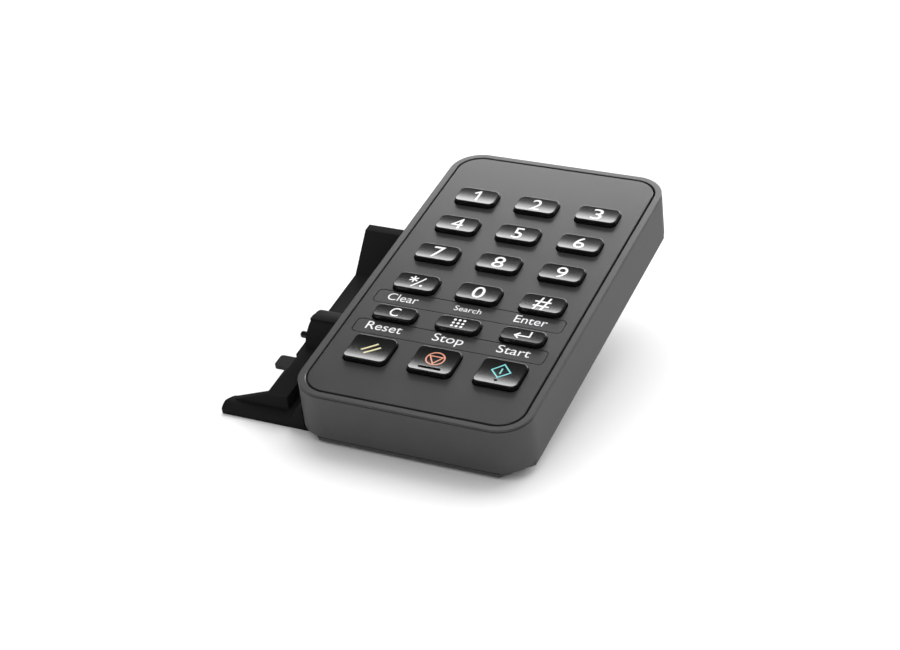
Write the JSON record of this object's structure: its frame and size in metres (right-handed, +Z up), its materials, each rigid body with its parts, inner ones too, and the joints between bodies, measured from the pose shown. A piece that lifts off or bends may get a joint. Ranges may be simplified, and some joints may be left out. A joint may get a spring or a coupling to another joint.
{
  "type": "numeric keypad unit",
  "caption": "Flat numeric keypad unit for an office machine, leaning up at its far end, with sprung keys and a moulded side bracket that carries a locating pin and tongue.",
  "frame": {"origin": "middle of the underside of the foot pad, on the surface that the unit stands on", "axes": "+Z up, +Y towards the raised far end of the keypad, +X to the right of a person using it; the side bracket is on -X"},
  "size_m": [0.0989, 0.1301, 0.0484],
  "materials": {
    "panel_plastic": "smooth satin dark grey plastic",
    "strip_plastic": "smooth satin dark grey plastic",
    "bezel_plastic": "smooth satin dark grey plastic",
    "case_plastic": "fine-grained dark grey plastic",
    "cover_plastic": "fine-grained dark grey plastic",
    "key_plastic": "glossy black plastic with a printed legend",
    "bracket_plastic": "semi-matte black moulded plastic",
    "black_steel": "black-finished steel",
    "screw_steel": "zinc-plated steel",
    "silicone_rubber": "moulded grey silicone rubber",
    "carbon_rubber": "conductive black rubber",
    "pad_rubber": "black non-slip rubber",
    "board_laminate": "green solder resist on laminate",
    "chip_resin": "black moulded resin",
    "capacitor_ceramic": "tan fired ceramic",
    "connector_plastic": "ivory moulded plastic",
    "insert_brass": "machined brass"
  },
  "bodies": {
    "casing": {"base_screws": "screw_steel", "board_capacitors": "capacitor_ceramic", "board_screws": "screw_steel", "bottom_cover": "cover_plastic", "bracket_screws": "screw_steel", "bracket_stay": "black_steel", "case_screws": "screw_steel", "circuit_board": "board_laminate", "contact_pills": "carbon_rubber", "controller_chip": "chip_resin", "face_panel": "panel_plastic", "foot_pad": "pad_rubber", "locating_pin": "black_steel", "lower_label_strip": "strip_plastic", "middle_case": "case_plastic", "ribbon_connector": "connector_plastic", "rubber_mat": "silicone_rubber", "side_bracket": "bracket_plastic", "support_base": "cover_plastic", "threaded_inserts": "insert_brass", "top_bezel": "bezel_plastic", "upper_label_strip": "strip_plastic"},
    "key_1": {"key_1": "key_plastic"},
    "key_2": {"key_2": "key_plastic"},
    "key_3": {"key_3": "key_plastic"},
    "key_4": {"key_4": "key_plastic"},
    "key_5": {"key_5": "key_plastic"},
    "key_6": {"key_6": "key_plastic"},
    "key_7": {"key_7": "key_plastic"},
    "key_8": {"key_8": "key_plastic"},
    "key_9": {"key_9": "key_plastic"},
    "key_star": {"key_star": "key_plastic"},
    "key_0": {"key_0": "key_plastic"},
    "key_hash": {"key_hash": "key_plastic"},
    "key_clear": {"key_clear": "key_plastic"},
    "key_search": {"key_search": "key_plastic"},
    "key_enter": {"key_enter": "key_plastic"},
    "key_reset": {"key_reset": "key_plastic"},
    "key_stop": {"key_stop": "key_plastic"},
    "key_start": {"key_start": "key_plastic"}
  },
  "joints": [
    {"name": "key_1_press", "type": "slide", "parent": "casing", "child": "key_1", "axis": [0, 0.2411, -0.9705], "range_m": [0, 0.001], "stiffness_N_per_m": 800, "deforming": ["rubber_mat", "contact_pills"]},
    {"name": "key_2_press", "type": "slide", "parent": "casing", "child": "key_2", "axis": [0, 0.2411, -0.9705], "range_m": [0, 0.001], "stiffness_N_per_m": 800, "deforming": ["rubber_mat", "contact_pills"]},
    {"name": "key_3_press", "type": "slide", "parent": "casing", "child": "key_3", "axis": [0, 0.2411, -0.9705], "range_m": [0, 0.001], "stiffness_N_per_m": 800, "deforming": ["rubber_mat", "contact_pills"]},
    {"name": "key_4_press", "type": "slide", "parent": "casing", "child": "key_4", "axis": [0, 0.2411, -0.9705], "range_m": [0, 0.001], "stiffness_N_per_m": 800, "deforming": ["rubber_mat", "contact_pills"]},
    {"name": "key_5_press", "type": "slide", "parent": "casing", "child": "key_5", "axis": [0, 0.2411, -0.9705], "range_m": [0, 0.001], "stiffness_N_per_m": 800, "deforming": ["rubber_mat", "contact_pills"]},
    {"name": "key_6_press", "type": "slide", "parent": "casing", "child": "key_6", "axis": [0, 0.2411, -0.9705], "range_m": [0, 0.001], "stiffness_N_per_m": 800, "deforming": ["rubber_mat", "contact_pills"]},
    {"name": "key_7_press", "type": "slide", "parent": "casing", "child": "key_7", "axis": [0, 0.2411, -0.9705], "range_m": [0, 0.001], "stiffness_N_per_m": 800, "deforming": ["rubber_mat", "contact_pills"]},
    {"name": "key_8_press", "type": "slide", "parent": "casing", "child": "key_8", "axis": [0, 0.2411, -0.9705], "range_m": [0, 0.001], "stiffness_N_per_m": 800, "deforming": ["rubber_mat", "contact_pills"]},
    {"name": "key_9_press", "type": "slide", "parent": "casing", "child": "key_9", "axis": [0, 0.2411, -0.9705], "range_m": [0, 0.001], "stiffness_N_per_m": 800, "deforming": ["rubber_mat", "contact_pills"]},
    {"name": "key_star_press", "type": "slide", "parent": "casing", "child": "key_star", "axis": [0, 0.2411, -0.9705], "range_m": [0, 0.001], "stiffness_N_per_m": 800, "deforming": ["rubber_mat", "contact_pills"]},
    {"name": "key_0_press", "type": "slide", "parent": "casing", "child": "key_0", "axis": [0, 0.2411, -0.9705], "range_m": [0, 0.001], "stiffness_N_per_m": 800, "deforming": ["rubber_mat", "contact_pills"]},
    {"name": "key_hash_press", "type": "slide", "parent": "casing", "child": "key_hash", "axis": [0, 0.2411, -0.9705], "range_m": [0, 0.001], "stiffness_N_per_m": 800, "deforming": ["rubber_mat", "contact_pills"]},
    {"name": "key_clear_press", "type": "slide", "parent": "casing", "child": "key_clear", "axis": [0, 0.2411, -0.9705], "range_m": [0, 0.001], "stiffness_N_per_m": 800, "deforming": ["rubber_mat", "contact_pills"]},
    {"name": "key_search_press", "type": "slide", "parent": "casing", "child": "key_search", "axis": [0, 0.2411, -0.9705], "range_m": [0, 0.001], "stiffness_N_per_m": 800, "deforming": ["rubber_mat", "contact_pills"]},
    {"name": "key_enter_press", "type": "slide", "parent": "casing", "child": "key_enter", "axis": [0, 0.2411, -0.9705], "range_m": [0, 0.001], "stiffness_N_per_m": 800, "deforming": ["rubber_mat", "contact_pills"]},
    {"name": "key_reset_press", "type": "slide", "parent": "casing", "child": "key_reset", "axis": [0, 0.2411, -0.9705], "range_m": [0, 0.001], "stiffness_N_per_m": 800, "deforming": ["rubber_mat", "contact_pills"]},
    {"name": "key_stop_press", "type": "slide", "parent": "casing", "child": "key_stop", "axis": [0, 0.2411, -0.9705], "range_m": [0, 0.001], "stiffness_N_per_m": 800, "deforming": ["rubber_mat", "contact_pills"]},
    {"name": "key_start_press", "type": "slide", "parent": "casing", "child": "key_start", "axis": [0, 0.2411, -0.9705], "range_m": [0, 0.001], "stiffness_N_per_m": 800, "deforming": ["rubber_mat", "contact_pills"]}
  ]
}
